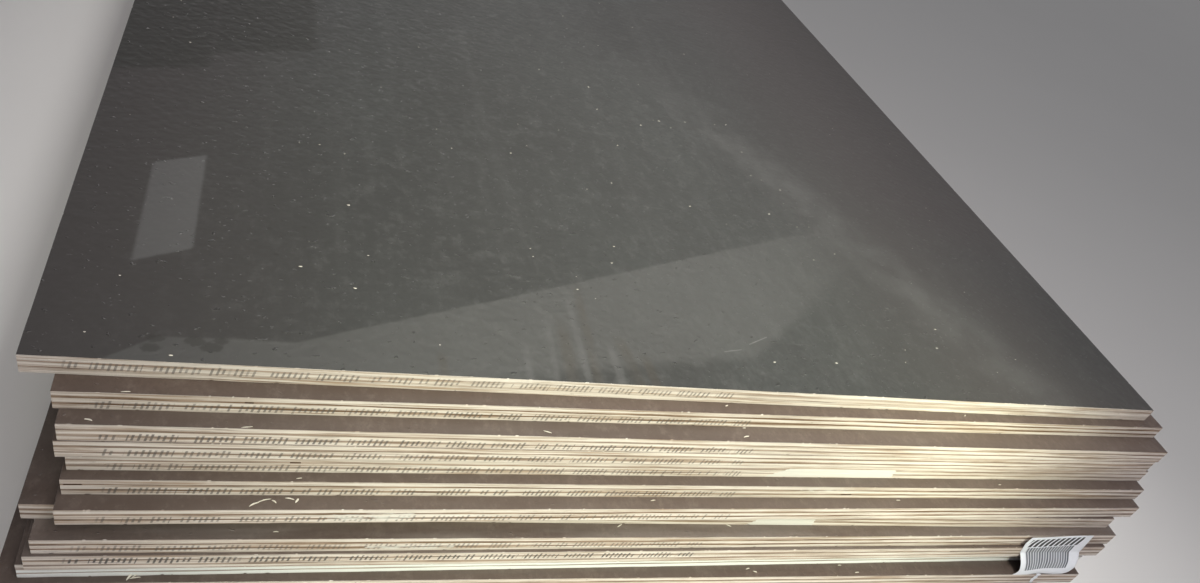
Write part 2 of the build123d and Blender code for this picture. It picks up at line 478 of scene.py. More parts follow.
slabs = {name: read_slab(name) for name in sheet_names}
for name in sheet_names[:3]:
    slab = slabs[name]
    print(name, "wide", round(slab.wide, 4), "long", round(slab.long, 4), "thick", round(slab.thick, 5))

# %% [markdown]
# A sheet's edge is one band that runs round all four sides. Seen as a grid, its columns
# are places round the sheet and its rows climb from the underside to the top, with rows
# on both sides of each glue line. So the veneers are real steps and grooves in the mesh.
# Rows come first: each says between which two ply bounds it lies.

# %% The plies, and the rows up the edge
FACE_PLY = 0.6 * MM
LONG_PLY = 2.2 * MM


def ply_bounds(thick):
    """Heights of the ply joints from the underside up: 7 plies, 8 bounds."""
    cross = (thick - 2 * FACE_PLY - 2 * LONG_PLY) / 3
    plies = [FACE_PLY, cross, LONG_PLY, cross, LONG_PLY, cross, FACE_PLY]
    return np.concatenate([[0.0], np.cumsum(plies)])


# How far a glue line darkens the wood above and below it, in millimetres.
GLUE_REACH = 0.22


class Row(NamedTuple):
    bound: int
    share: float
    lift: float
    sunk: float
    glue: float
    ply: float


def edge_rows():
    """From the underside to the top face; a ply of x.5 is the joint between two."""
    rows = [Row(0, 0.0, lift, sunk, 0.0, 0) for lift, sunk in ((0.0, 0.45), (0.15, 0.12), (0.35, 0.03))]
    for ply in range(1, 7):
        inner = 2 <= ply <= 5
        if inner:
            rows.append(Row(ply, 0.0, -GLUE_REACH, 0.0, 0.0, ply - 1))
        rows.append(Row(ply, 0.0, 0.0, 0.14 if inner else 0.05, 1.0 if inner else 0.4, ply - 0.5))
        if inner:
            rows.append(Row(ply, 0.0, GLUE_REACH, 0.0, 0.0, ply))
        if ply < 6:
            for share in (0.35, 0.7) if ply % 2 else (0.5,):
                rows.append(Row(ply, share, 0.0, 0.0, 0.0, ply))
    for lift, sunk in ((-0.28, 0.02), (-0.1, 0.08), (0.0, 0.3)):
        rows.append(Row(7, 0.0, lift, sunk, 0.0, 6))
    return rows


ROWS = edge_rows()
print(len(ROWS), "rows up an edge, bounds in mm", np.round(ply_bounds(0.01905) / MM, 2))

# %% [markdown]
# Columns next. Sheets in view get one every 4 mm along the near edge, and fewer where
# nothing small is seen. Both ends of an open core joint get a column of their own, so the
# pocket has sharp cheeks. So does each chip knocked out of an arris: small chips would be
# lost between two columns. A wave made of a few sines, whole in number round the sheet,
# bends the veneers slightly and meets itself where the band closes.

# %% Chips in the arrises
class Chip(NamedTuple):
    side: int
    along: float
    half: float
    deep: float
    upper: bool


def chips_of(slab, chance, near, other):
    """Random chips: so many on the near side, and so many on each other side."""
    chips = []
    for side, length in enumerate((slab.wide, slab.long, slab.wide, slab.long)):
        for _ in range(near if side == 0 else other):
            along = chance.uniform(8 * MM, length - 8 * MM)
            half = chance.uniform(0.7, 2.6) * MM
            chips.append(Chip(side, along, half, chance.uniform(0.3, 1.2), chance.random() < 0.6))
    return chips


def chip_depth(ring, chips, upper, chance):
    """How deep each column is chipped, in millimetres, at the upper or the lower arris."""
    depth = np.zeros(len(ring.along))
    for chip in chips:
        if chip.upper == upper:
            near = (1.0 - np.abs(ring.along - chip.along) / chip.half).clip(0.0, 0.6) / 0.6
            rough = chance.uniform(0.6, 1.0, len(near))
            depth = np.maximum(depth, (ring.side == chip.side) * near * rough * chip.deep)
    return depth


# %% Columns round the sheet, and soft waves
CHIP_COLUMNS = (-1.0, -0.5, 0.0, 0.5, 1.0)


class Ring(NamedTuple):
    side: np.ndarray
    along: np.ndarray
    base: np.ndarray
    out: np.ndarray
    turn: np.ndarray


def ring_of(slab, steps, gap_ends, chips):
    """Columns counter-clockwise from the near left corner."""
    wide, long = slab.wide, slab.long
    corners = np.array([(0, 0), (wide, 0), (wide, long), (0, long)])
    outs = np.array([(0, -1), (1, 0), (0, 1), (-1, 0)])
    side, along = [], []
    for s, (length, gap) in enumerate(zip((wide, long, wide, long), steps)):
        stops = np.linspace(0.0, length, round(length / gap) + 1)[:-1]
        own = [chip for chip in chips if chip.side == s]
        extra = [chip.along + share * chip.half for chip in own for share in CHIP_COLUMNS]
        if s == 0:
            extra += gap_ends
        stops = np.unique(np.concatenate([stops, extra]))
        side += [s] * len(stops)
        along += list(stops)
    side, along = np.array(side), np.array(along)
    ways = np.roll(corners, -1, axis=0) - corners
    ways = ways / np.linalg.norm(ways, axis=1)[:, None]
    base = corners[side] + ways[side] * along[:, None]
    out = outs[side].astype(float)
    at_corner = along == 0.0
    out[at_corner] += outs[side[at_corner] - 1]
    starts = np.array([0.0, wide, wide + long, 2 * wide + long])
    turn = (starts[side] + along) / (2 * wide + 2 * long)
    return Ring(side, along, base, out, turn)


def wave(chance, turn, most=60, count=10):
    """A smooth random line from about -1 to 1 that closes on itself."""
    total = np.zeros_like(turn)
    for swings, phase in zip(chance.integers(1, most, count), chance.uniform(0, 6.28, count)):
        total += np.sin(2 * np.pi * (swings * turn) + phase)
    return total / np.sqrt(count)


# %% [markdown]
# Some near edges have places where the saw or a fork tore the veneer: pale fresh wood,
# a little deeper than the rest. They are given as a start, an end and how far up the
# sheet they reach. The ends of the open joints are read from the slab.

# %% What sets one sheet apart from the next
class Torn(NamedTuple):
    start: float
    end: float
    low: float
    high: float
    fresh: float


TORN_PLACES = {
    "sheet_05": [Torn(0.652, 0.822, 0.001, 0.0142, 1.0)],
    "sheet_06": [Torn(0.692, 0.776, 0.008, 0.018, 0.45)],
    "sheet_07": [Torn(0.205, 0.292, 0.002, 0.014, 0.50)],
    "sheet_08": [Torn(0.684, 0.772, 0.000, 0.011, 1.0)],
    "sheet_09": [Torn(0.262, 0.358, 0.002, 0.010, 0.50)],
}


class Look(NamedTuple):
    brownness: float
    whiteness: float
    ink: float
    ink_height: float
    # How much that sheet's film is painted lighter, as painted light on its ledge.
    painted_film_light: float


LOOKS = {
    "sheet_01": Look(0.35, 0.0, 0.65, 10.0, 0.0),
    "sheet_02": Look(1.0, 0.0, 0.7, 5.5, 0.0),
    "sheet_03": Look(0.8, 0.0, 0.8, 5.0, 0.15),
    "sheet_04": Look(0.85, 0.0, 0.7, 6.0, 0.0),
    "sheet_05": Look(0.75, 0.0, 0.65, 5.5, 0.0),
    "sheet_06": Look(0.95, 0.0, 0.75, 5.5, 0.15),
    "sheet_07": Look(1.0, 0.0, 0.65, 6.0, 0.15),
    "sheet_08": Look(0.85, 0.0, 0.0, 6.0, 0.25),
    "sheet_09": Look(1.0, 0.0, 0.6, 7.0, 0.6),
    "sheet_10": Look(0.8, 0.0, 0.95, 12.0, 0.4),
    "sheet_11": Look(0.9, 1.0, 0.0, 9.0, 0.2),
    "sheet_12": Look(0.9, 0.0, 0.0, 9.0, 0.1),
}
COMMON_LOOK = Look(0.8, 0.0, 0.6, 6.0, 0.2)
INK_FROM = 0.028
INK_TO = 0.62

# %% [markdown]
# Now the band itself. For each row and column the height follows the bent ply bounds and
# the depth follows the veneer, the arris and any chip or tear. Depth is only ever taken
# inwards, so the sheet never grows past its slab.

# %% Shape the edge band
GRIT_TALL = 0.25 * MM
# In millimetres: how far each ply bound wanders up and down, how far the veneers stand
# back and by how much that varies, and how deep a tear goes.
BOUND_SWING = [0, 0.07, 0.4, 0.35, 0.35, 0.4, 0.07, 0]
VENEER_BACK = 0.12
VENEER_WAVE = 0.07
TEAR_DEEP = 0.25


def tear_strength(tear, ring, height):
    """How torn each column is at a height: a wedge at the tear's left end, blunt at its right."""
    wedge = ((ring.along - tear.start) / (0.15 * (tear.end - tear.start))).clip(0.0, 1.0)
    blunt = ((tear.end - ring.along) / (5 * MM)).clip(0.0, 1.0)
    top = tear.low + (tear.high - tear.low) * wedge
    inside = (ring.side == 0) & (height > tear.low) & (height < top)
    return inside * blunt * tear.fresh


def edge_shape(slab, ring, chance, torn_places, chips, top_drop):
    """Places of all band points, and how torn each one is."""
    bounds = ply_bounds(slab.thick)
    bend = np.array([wave(chance, ring.turn) for _ in bounds])
    joints = bounds[:, None] + bend * np.array(BOUND_SWING)[:, None] * MM
    joints[-1] -= top_drop
    depth = [VENEER_BACK + VENEER_WAVE * wave(chance, ring.turn, 200) for _ in range(7)]
    depth = np.array(depth).clip(0.0, 0.3)
    upper = chip_depth(ring, chips, True, chance)
    lower = chip_depth(ring, chips, False, chance)
    places = np.empty((len(ROWS), len(ring.turn), 3))
    torn = np.zeros((len(ROWS), len(ring.turn)))
    for r, row in enumerate(ROWS):
        above = joints[min(row.bound + 1, 7)]
        height = joints[row.bound] * (1 - row.share) + above * row.share + row.lift * MM
        for tear in torn_places:
            torn[r] = np.maximum(torn[r], tear_strength(tear, ring, height))
        veneer = np.maximum(depth[int(row.ply)], depth[int(np.ceil(row.ply))])
        chipped = upper * max(0.0, 1 - 0.2 * (len(ROWS) - 1 - r)) + lower * max(0.0, 1 - 0.2 * r)
        sunk = (veneer + row.sunk + TEAR_DEEP * torn[r] + chipped) * MM
        torn[r] = np.maximum(torn[r], (chipped > 0.2) * 0.5)
        places[r, :, :2] = ring.base - ring.out * sunk[:, None]
        places[r, :, 2] = height
    return places, torn


# %% [markdown]
# The band becomes a mesh: four-sided faces between rows and columns, and two large
# many-sided faces for the film on top and underneath. Where a core joint is open, the
# faces of that ply are left out and a pocket is built behind them.

# %% Open core joints
def open_joints(slab):
    """For each long core ply: where its open joint starts and ends, and how deep it goes."""
    bounds = ply_bounds(slab.thick)
    found = {}
    for ply in (2, 4):
        low, high = bounds[ply] - 0.1 * MM, bounds[ply + 1] + 0.1 * MM
        points = slab.inner[(slab.inner[:, 2] > low) & (slab.inner[:, 2] < high)]
        if len(points):
            found[ply] = (points[:, 0].min(), points[:, 0].max(), points[:, 1].max())
    return found


def joint_rows(ply):
    """The rows just inside the joints under and over one long core ply."""
    rows = [r for r, row in enumerate(ROWS) if row.ply == ply]
    return rows[0], rows[-1]


def joint_pocket(places, ring, ply, joint, chance):
    """Points and faces of the room behind an open joint, and the band faces it takes away."""
    start, end, deep = joint
    columns = [c for c in np.flatnonzero(ring.side == 0) if start - 1e-6 <= ring.along[c] <= end + 1e-6]
    low, high = joint_rows(ply)
    width = places.shape[1]
    first = places.shape[0] * width
    points, faces = [], []
    for c in columns:
        for r in (low, high):
            reach = deep + chance.uniform(-6.0, 0.0) * MM
            points.append((places[r, c, 0], reach, places[r, c, 2]))
    for k, c in enumerate(columns[:-1]):
        a, b = first + 2 * k, first + 2 * k + 2
        faces.append((low * width + c, low * width + c + 1, b, a))
        faces.append((high * width + c, a + 1, b + 1, high * width + c + 1))
        faces.append((a, b, b + 1, a + 1))
    mouth = [r * width for r in range(low, high + 1)]
    last = first + 2 * (len(columns) - 1)
    faces.append((mouth[0] + columns[0], first, first + 1, *[m + columns[0] for m in mouth[:0:-1]]))
    faces.append((last, *[m + columns[-1] for m in mouth], last + 1))
    gone = {(r, c) for r in range(low, high) for c in columns[:-1]}
    return points, faces, gone


# %% [markdown]
# Grit and splinters of sawn wood lie on the film. They are real small shapes: grit is a
# low lump, and a splinter is a thin bent spindle. Each is closed and rests on its sheet.
# The places are given from the near left corner of the sheet, in millimetres. Grit lies on
# the top sheet, and so its face is set down by as much as the grit stands up.

# %% Grit and splinters
GRIT = [
    (359, 671), (376, 400), (546, 791), (624, 901), (715, 1000), (836, 841), (758, 916), (579, 370),
    (452, 409), (669, 544), (705, 567), (752, 578), (546, 229), (535, 196), (482, 142), (681, 339),
    (803, 346), (442, 193), (685, 46), (250, 251), (252, 113), (203, 139), (105, 8), (850, 415),
    (829, 248), (951, 126), (931, 90), (767, 51), (72, 565), (41, 30), (56, 104), (610, 640),
]
FINE_GRIT = 70


class Splinter(NamedTuple):
    right: float
    back: float
    long: float
    thick: float
    turn: float


SPLINTERS = {
    "sheet_02": [Splinter(592, 11, 4, 1.2, 20), Splinter(51, 2, 7, 1.0, 5), Splinter(902, 9, 3, 1.0, 40)],
    "sheet_03": [
        Splinter(22, 5, 6, 1.4, -15), Splinter(137, 2, 9, 0.9, 8), Splinter(397, 6, 8, 1.0, -20),
        Splinter(612, 19, 4, 1.0, 0), Splinter(610, 7, 7, 1.5, 15),
    ],
    "sheet_06": [Splinter(182, 4, 5, 0.9, 10), Splinter(980, 6, 4, 1.0, 0)],
    "sheet_07": [
        Splinter(150, 6, 9, 1.6, 30), Splinter(158, 10, 12, 1.2, 20), Splinter(166, 9, 5, 1.5, -40),
        Splinter(179, 12, 8, 1.3, -15), Splinter(185, 10, 5, 2.2, 60), Splinter(530, 11, 6, 1.1, 10),
        Splinter(840, 12, 6, 0.9, 0),
    ],
    "sheet_08": [Splinter(231, 2, 6, 0.9, 5), Splinter(556, 4, 5, 1.0, 0)],
    "sheet_09": [Splinter(525, 15, 7, 1.2, 30), Splinter(653, 15, 6, 1.1, -25), Splinter(190, 8, 5, 1.0, 0)],
    "sheet_10": [
        Splinter(161, 12, 9, 1.4, 20), Splinter(168, 13, 13, 1.2, -10), Splinter(173, 9, 6, 1.6, 50),
    ],
    "sheet_12": [
        Splinter(104, 8, 12, 3.0, 65), Splinter(112, 10, 16, 2.4, 35), Splinter(108, 5, 9, 1.5, 10),
        Splinter(728, 11, 6, 1.3, 15), Splinter(736, 7, 5, 1.4, -20), Splinter(873, 5, 6, 1.2, 5),
        Splinter(853, 15, 5, 1.0, 0),
    ],
}


def lump(middle, reach, tall, chance, sides=7):
    """A low closed lump of grit: two uneven rings, a top point and a flat underside."""
    turns = np.arange(sides) * 2 * np.pi / sides + chance.uniform(0, 1)
    points = []
    for size, height in ((1.0, 0.0), (0.7, 0.65)):
        for turn in turns:
            away = reach * size * chance.uniform(0.75, 1.2)
            flat = (middle[0] + 1.5 * away * np.cos(turn), middle[1] + 0.7 * away * np.sin(turn))
            points.append((*flat, middle[2] + height * tall))
    points.append((middle[0], middle[1], middle[2] + tall))
    faces = [tuple(range(sides))[::-1]]
    for k in range(sides):
        n = (k + 1) % sides
        faces.append((k, n, sides + n, sides + k))
        faces.append((sides + k, sides + n, 2 * sides))
    return points, faces


def spindle(splinter, rest, chance, stations=7, sides=5):
    """A closed splinter: five-sided, thin at both ends, slightly bent and curled up."""
    along = np.array([np.cos(radians(splinter.turn)), np.sin(radians(splinter.turn))])
    across = np.array([-along[1], along[0]])
    bow = chance.uniform(-0.07, 0.07) * splinter.long
    points, faces = [], []
    for k in range(stations):
        share = k / (stations - 1)
        half = 0.5 * splinter.thick * (0.25 + 0.75 * np.sin(np.pi * share) ** 0.6) * chance.uniform(0.8, 1.1)
        centre = np.array([splinter.right, splinter.back]) + along * (share - 0.5) * splinter.long
        centre = centre + across * bow * np.sin(np.pi * share)
        for s in range(sides):
            turn = 2 * np.pi * s / sides
            flat = centre + across * half * np.cos(turn)
            points.append((flat[0] * MM, flat[1] * MM, rest + half * (1.0 + 0.8 * np.sin(turn)) * MM))
    for k in range(stations - 1):
        for s in range(sides):
            a, b = k * sides + s, k * sides + (s + 1) % sides
            faces.append((a, a + sides, b + sides, b))
    faces.append(tuple(range(sides)))
    faces.append(tuple((stations - 1) * sides + s for s in range(sides))[::-1])
    return points, faces


def loose_bits(name, number, top, chance):
    """All grit or splinters of one sheet, as points and faces."""
    shapes = []
    if number == 1:
        for right, back in GRIT:
            spot = (right * MM, back * MM, top)
            tall = GRIT_TALL * chance.uniform(0.75, 0.98)
            shapes.append(lump(spot, chance.uniform(0.6, 1.3) * MM, tall, chance))
        for _ in range(FINE_GRIT):
            spot = (chance.uniform(0.03, 1.19), chance.uniform(0.02, 1.1), top)
            tall = GRIT_TALL * chance.uniform(0.5, 0.9)
            shapes.append(lump(spot, chance.uniform(0.4, 0.8) * MM, tall, chance))
    for splinter in SPLINTERS.get(name, []):
        shapes.append(spindle(splinter, top, chance))
    points, faces = [], []
    for more_points, more_faces in shapes:
        faces += [tuple(v + len(points) for v in face) for face in more_faces]
        points += more_points
    return points, faces


# %% Pale wood of grit and splinters
BIT_PALE = (0.80, 0.78, 0.71)
BIT_DARK = (0.52, 0.46, 0.38)
bit_wood, tree, shader = new_recipe("pale_splinters")
place = put(tree, "TexCoord", {}).outputs["Object"]
grain = cloud(tree, place, 4.0, 900.0, 2.0)
fill(tree, shader.inputs["Base Color"], tint(tree, grain, BIT_PALE, BIT_DARK))
shader.inputs["Roughness"].default_value = 0.75
print(sum(len(bits) for bits in SPLINTERS.values()), "splinters,", len(GRIT) + FINE_GRIT, "grains of grit")


# %% [markdown]
# All parts of a sheet go into one mesh: the band, the pockets, the two film faces and the
# loose bits, each face with the number of its material. One mesh keeps a sheet one piece,
# as it is on the pile. Sheets in view are finer, with closer columns and more chips.

# %% Build one dressed sheet
SHEETS_IN_VIEW = 12
# Chips along the near edge and along each other side.
CHIPS = {True: (34, 14), False: (10, 10)}
# Millimetres between columns on the near, right, far and left side.
COLUMN_STEPS = {True: (4.0, 28.0, 14.0, 28.0), False: (8.0, 40.0, 20.0, 40.0)}


def build_sheet(name, number):
    """One sheet with its edge band, its film faces and its open joints."""
    slab = slabs[name]
    chance = np.random.default_rng(number)
    joints = open_joints(slab)
    gap_ends = [end for joint in joints.values() for end in joint[:2]]
    in_view = number <= SHEETS_IN_VIEW
    chips = chips_of(slab, chance, *CHIPS[in_view])
    ring = ring_of(slab, np.array(COLUMN_STEPS[in_view]) * MM, gap_ends, chips)
    look = LOOKS.get(name, COMMON_LOOK)
    top_drop = GRIT_TALL if number == 1 else 0.0
    places, torn = edge_shape(slab, ring, chance, TORN_PLACES.get(name, []), chips, top_drop)
    rows, width = places.shape[:2]
    points = [tuple(p) for p in places.reshape(-1, 3)]
    gone, pocket_faces = set(), []
    for ply, joint in joints.items():
        more_points, more_faces, taken = joint_pocket(places, ring, ply, joint, chance)
        shift = len(points) - rows * width
        pocket_faces += [tuple(v + shift if v >= rows * width else v for v in face) for face in more_faces]
        points += more_points
        gone |= taken
    faces, cells = [], []
    for r in range(rows - 1):
        for c in range(width):
            if (r, c) not in gone:
                d = (c + 1) % width
                faces.append((r * width + c, r * width + d, (r + 1) * width + d, (r + 1) * width + c))
                cells.append((r, c))
    band = len(faces)
    faces += pocket_faces
    faces.append(tuple(range(width))[::-1])
    faces.append(tuple((rows - 1) * width + c for c in range(width)))
    whole = len(faces)
    bit_points, bit_faces = loose_bits(name, number, slab.thick - top_drop, chance)
    faces += [tuple(v + len(points) for v in face) for face in bit_faces]
    points += bit_points
    mesh = bpy.data.meshes.new(name)
    mesh.from_pydata(points, [], faces)
    cells = np.array(cells)
    kinds = np.ones(len(faces), dtype=np.int32)
    kinds[:band][cells[:, 0] == rows - 2] = 0
    kinds[whole - 2:whole] = 0
    kinds[whole:] = 2
    mesh.polygons.foreach_set("material_index", kinds)
    paint_corners(mesh, slab, ring, places, torn, look, cells, number)
    mesh.materials.append(top_film if number == 1 else film)
    mesh.materials.append(edge)
    mesh.materials.append(bit_wood)
    dressed = bpy.data.objects.new("plywood_" + name, mesh)
    bpy.context.scene.collection.objects.link(dressed)
    dressed.matrix_world = slab.place
    return dressed


# %% [markdown]
# The recipes need numbers at each corner of each face: how far along its side and how
# high it is, whether its ply shows end grain on that side, and the sheet's own look.
# Corners, and not points, carry them, because at a sheet's corner the same point belongs
# to two sides on which the grain swaps. The walls of an open joint are painted dark with
# the glue line's colour: glue on them, and painted shade in the pocket.

# %% Write the numbers that the recipes read
# Each side's grain starts this much further along, so that no two sides repeat. The
# seeds of two sheets lie this far apart, and an open joint's walls are painted this dark,
# for glue on them and for painted shade in the pocket.
SIDE_APART = 5.0
SEED_APART = 1.37
POCKET_GLUE_AND_SHADE = 2.0


def paint_corners(mesh, slab, ring, places, torn, look, cells, number):
    """Give each face corner its place on the edge and its grain, glue, ink and tear."""
    rows, width = places.shape[:2]
    lengths = np.array([slab.wide, slab.long, slab.wide, slab.long])
    side = ring.side[cells[:, 1]]
    plies = np.array([row.ply for row in ROWS])
    odd = np.where(plies % 1 == 0, plies % 2, 0.5)
    glue = np.array([row.glue for row in ROWS])
    values = {key: [] for key in ("u", "v", "end_grain", "glue", "ink", "fresh")}
    for dr, dc in ((0, 0), (0, 1), (1, 1), (1, 0)):
        r = cells[:, 0] + dr
        c = (cells[:, 1] + dc) % width
        along = np.where((dc == 1) & (ring.side[c] != side), lengths[side], ring.along[c])
        values["u"].append(along + SIDE_APART * side)
        values["v"].append(places[r, c, 2])
        shown = np.where(side % 2 == 0, 1.0 - odd[r], odd[r])
        values["end_grain"].append(shown * np.where((plies[r] < 1) | (plies[r] > 5), 0.35, 1.0))
        values["glue"].append(glue[r])
        printed = (side == 0) & (along > INK_FROM) & (along < INK_TO)
        values["ink"].append(printed * look.ink)
        values["fresh"].append(torn[r, c])
    flat = {key: np.stack(value, axis=1).ravel() for key, value in values.items()}
    total = len(mesh.loops)
    band = len(flat["u"])
    spread = np.zeros((total, 2))
    spread[:band, 0] = flat.pop("u")
    spread[:band, 1] = flat.pop("v")
    layer = mesh.uv_layers.new(name="along_edge")
    layer.uv.foreach_set("vector", spread.ravel())
    steady = {
        "seed": number * SEED_APART,
        "brownness": look.brownness,
        "whiteness": look.whiteness,
        "ink_height": look.ink_height * MM,
        "painted_film_light": look.painted_film_light,
    }
    for key, value in {**flat, **steady}.items():
        numbers = np.full(total, 0.0 if key in flat else value)
        if key in flat:
            numbers[:band] = value
        # The pocket's walls get the glue colour at full strength: glue, and painted shade in the pocket.
        if key == "glue":
            numbers[band:] = POCKET_GLUE_AND_SHADE
        attribute = mesh.attributes.new(key, "FLOAT", "CORNER")
        attribute.data.foreach_set("value", numbers)


# %% Dress every slab
triangles = 0
dressed_sheets = {}
for number, name in enumerate(sheet_names, start=1):
    dressed = build_sheet(name, number)
    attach(dressed, "root")
    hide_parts(name)
    dressed_sheets[name] = dressed
    triangles += sum(len(face.vertices) - 2 for face in dressed.data.polygons)
print(len(dressed_sheets), "dressed sheets,", triangles, "triangles")

# %% [markdown]
# The floor is a pale sheet far larger than the pile. Two soft spots make the pools of
# light on the near edges, and long lamps overhead give the film its sheen. A large front
# lamp, three fills round the pile and a dim even surround keep every other side readable.

# %% Floor and light
floor_mesh = bpy.data.meshes.new("floor")
floor_mesh.from_pydata([(-9, -9, 0), (9, -9, 0), (9, 9, 0), (-9, 9, 0)], [], [(0, 1, 2, 3)])
floor = bpy.data.objects.new("floor", floor_mesh)
bpy.context.scene.collection.objects.link(floor)
floor_paint, tree, shader = new_recipe("floor_paint")
place = put(tree, "TexCoord", {}).outputs["Object"]
cloudy = cloud(tree, place, 0.0, 1.5, 3.0)
fill(tree, shader.inputs["Base Color"], tint(tree, cloudy, (0.84, 0.835, 0.82), (0.88, 0.875, 0.86)))
shader.inputs["Roughness"].default_value = 0.9
floor_mesh.materials.append(floor_paint)

world = bpy.data.worlds.new("surround")
bpy.context.scene.world = world
world.use_nodes = True
world.node_tree.nodes["Background"].inputs["Color"].default_value = (0.965, 0.96, 1.0, 1.0)
world.node_tree.nodes["Background"].inputs["Strength"].default_value = 0.205


def hang(name, data, place, aim):
    """Put a lamp at a place, facing a point."""
    lamp = bpy.data.objects.new(name, data)
    bpy.context.scene.collection.objects.link(lamp)
    lamp.location = place
    lamp.rotation_euler = (Vector(aim) - Vector(place)).to_track_quat("-Z", "Y").to_euler()
    return lamp


def soft_lamp(name, place, aim, size, power, colour=(1.0, 0.98, 0.95), spread=180.0):
    """A flat lamp that faces a point; a smaller spread keeps its light together."""
    data = bpy.data.lights.new(name, "AREA")
    data.shape = "RECTANGLE"
    data.size, data.size_y = size
    data.energy = power
    data.color = colour
    data.spread = radians(spread)
    hang(name, data, place, aim).visible_camera = False


def soft_spot(name, place, aim, cone, power, colour):
    """A round lamp with a wide soft rim, for the pool of light on the near edges."""
    data = bpy.data.lights.new(name, "SPOT")
    data.color = colour
    data.spot_size = radians(cone)
    data.spot_blend = 0.85
    data.shadow_soft_size = 0.15
    data.energy = power
    hang(name, data, place, aim)


soft_spot("pool", (-0.05, -3.4, 2.1), (-0.04, -1.1, 0.36), 23.0, 378.0, (0.955, 1.0, 0.74))
soft_spot("middle", (0.34, -3.4, 2.1), (0.34, -1.1, 0.35), 7.0, 440.0, (0.945, 1.0, 0.72))
soft_lamp("front", (0.2, -2.6, 2.6), (0.0, -0.6, 0.3), (1.2, 1.2), 18.0, (1.0, 0.955, 0.96), 120.0)
soft_lamp("overhead", (0.02, -0.2, 1.9), (0.02, -0.2, 0.0), (0.25, 2.6), 7.2, spread=70.0)
soft_lamp("right_overhead", (0.38, -0.3, 1.7), (0.38, -0.3, 0.0), (0.2, 1.8), 1.8, spread=60.0)
soft_lamp("far_fill", (0.3, 13.0, 0.4), (0.0, 0.6, 0.2), (6.0, 0.6), 190.0)
soft_lamp("right_fill", (12.0, 1.0, 0.4), (0.3, 0.4, 0.2), (6.0, 0.6), 170.0)
soft_lamp("left_fill", (-12.0, 1.4, 0.4), (-0.3, 0.4, 0.2), (6.0, 0.6), 170.0)
bpy.context.scene.view_settings.view_transform = "Standard"
print("floor and lamps are set")

# %% [markdown]
# The tag is a paper label that was stuck to one near edge and tore loose below, so it
# curls out and its foot stands on a sheet that sticks out further. A grid of points, bent
# in one direction and then warped a little at its corners, keeps the look of paper. Its
# print is plain bars and ticks that stand for nothing.

# %% The tag's print
PAPER_PALE = (0.86, 0.885, 0.94)
PAPER_GREY = (0.76, 0.785, 0.84)
BAR_INK = (0.055, 0.065, 0.085)
TICK_INK = (0.012, 0.012, 0.015)

paper, tree, shader = new_recipe("tag_paper")
run = put(tree, "UVMap", {}, uv_map="across_tag").outputs["UV"]
parts = put(tree, "SeparateXYZ", {"Vector": run}).outputs
fibres = cloud(tree, stretch(tree, run, 9.0, 14.0, 1.0), 3.0, 1.0, 3.0)
colour = tint(tree, fibres, PAPER_PALE, PAPER_GREY)
bar_number = work(tree, "FLOOR", times(tree, parts["X"], 96.0))
bar_chance = put(tree, "TexWhiteNoise", {"W": bar_number}, noise_dimensions="1D").outputs["Value"]
wide_bars = minus(tree, work(tree, "FRACT", times(tree, parts["X"], 23.0)), 0.5)
wide_bars = ramp(tree, work(tree, "ABSOLUTE", wide_bars), 0.46, 0.30)
bar_place = box_mark(tree, parts["X"], parts["Y"], (0.08, 0.13), (0.74, 0.50), 0.06, 0.004)
thick_bars = times(tree, wide_bars, scaled(tree, bar_chance, 0.3, 0.7))
colour = tint(tree, times(tree, thick_bars, bar_place), colour, BAR_INK)
tick_place = times(tree, scaled(tree, parts["Y"], -0.2, parts["X"]), 12.5)
tick_away = work(tree, "ABSOLUTE", minus(tree, work(tree, "FRACT", tick_place), 0.5))
ticks = ramp(tree, tick_away, 0.36, 0.27)
tick_line = box_mark(tree, parts["X"], parts["Y"], (0.06, 0.66), (0.82, 0.26), 0.04, 0.004)
ticks = times(tree, ticks, tick_line)
colour = tint(tree, ticks, colour, TICK_INK)
fill(tree, shader.inputs["Base Color"], colour)
shader.inputs["Roughness"].default_value = 0.55
crinkle = cloud(tree, stretch(tree, run, 5.0, 5.0, 1.0), 8.0, 1.0, 3.0)
bump = put(tree, "Bump", {"Height": crinkle, "Strength": 0.3, "Distance": 0.002})
fill(tree, shader.inputs["Normal"], bump.outputs["Normal"])
print("tag paper:", len(tree.nodes), "nodes")

# %% The tag's shape
TAG_SHEET = "sheet_10"
tag_slab = slabs[TAG_SHEET]
tag_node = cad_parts["unit_tag"]
tag_points = [tag_slab.place.inverted() @ v.co for v in tag_node.data.vertices]
tag_left, tag_right = min(p.x for p in tag_points), max(p.x for p in tag_points)
tag_low, tag_high = min(p.z for p in tag_points), max(p.z for p in tag_points)
tag_out = -min(p.y for p in tag_points)
print("tag from", round(tag_left, 4), "to", round(tag_right, 4), "along the edge")
print("tag from", round(tag_low, 4), "to", round(tag_high, 4), "up")


# How far the paper's left and right edges stand in from its full width, from its foot up.
UP_SHARES = [0.0, 0.05, 0.14, 0.3, 0.55, 0.8, 1.0]
LEFT_IN = [0.005, 0.0085, 0.0105, 0.0085, 0.004, 0.0, 0.002]
RIGHT_IN = [0.012, 0.005, -0.001, -0.004, -0.004, -0.002, 0.0]
# How much lower the paper's top edge lies at its left end, and the waves of its two edges.
TOP_DROP = 0.0045
TOP_WAVE = 0.0004
FOOT_WAVE = 0.0008


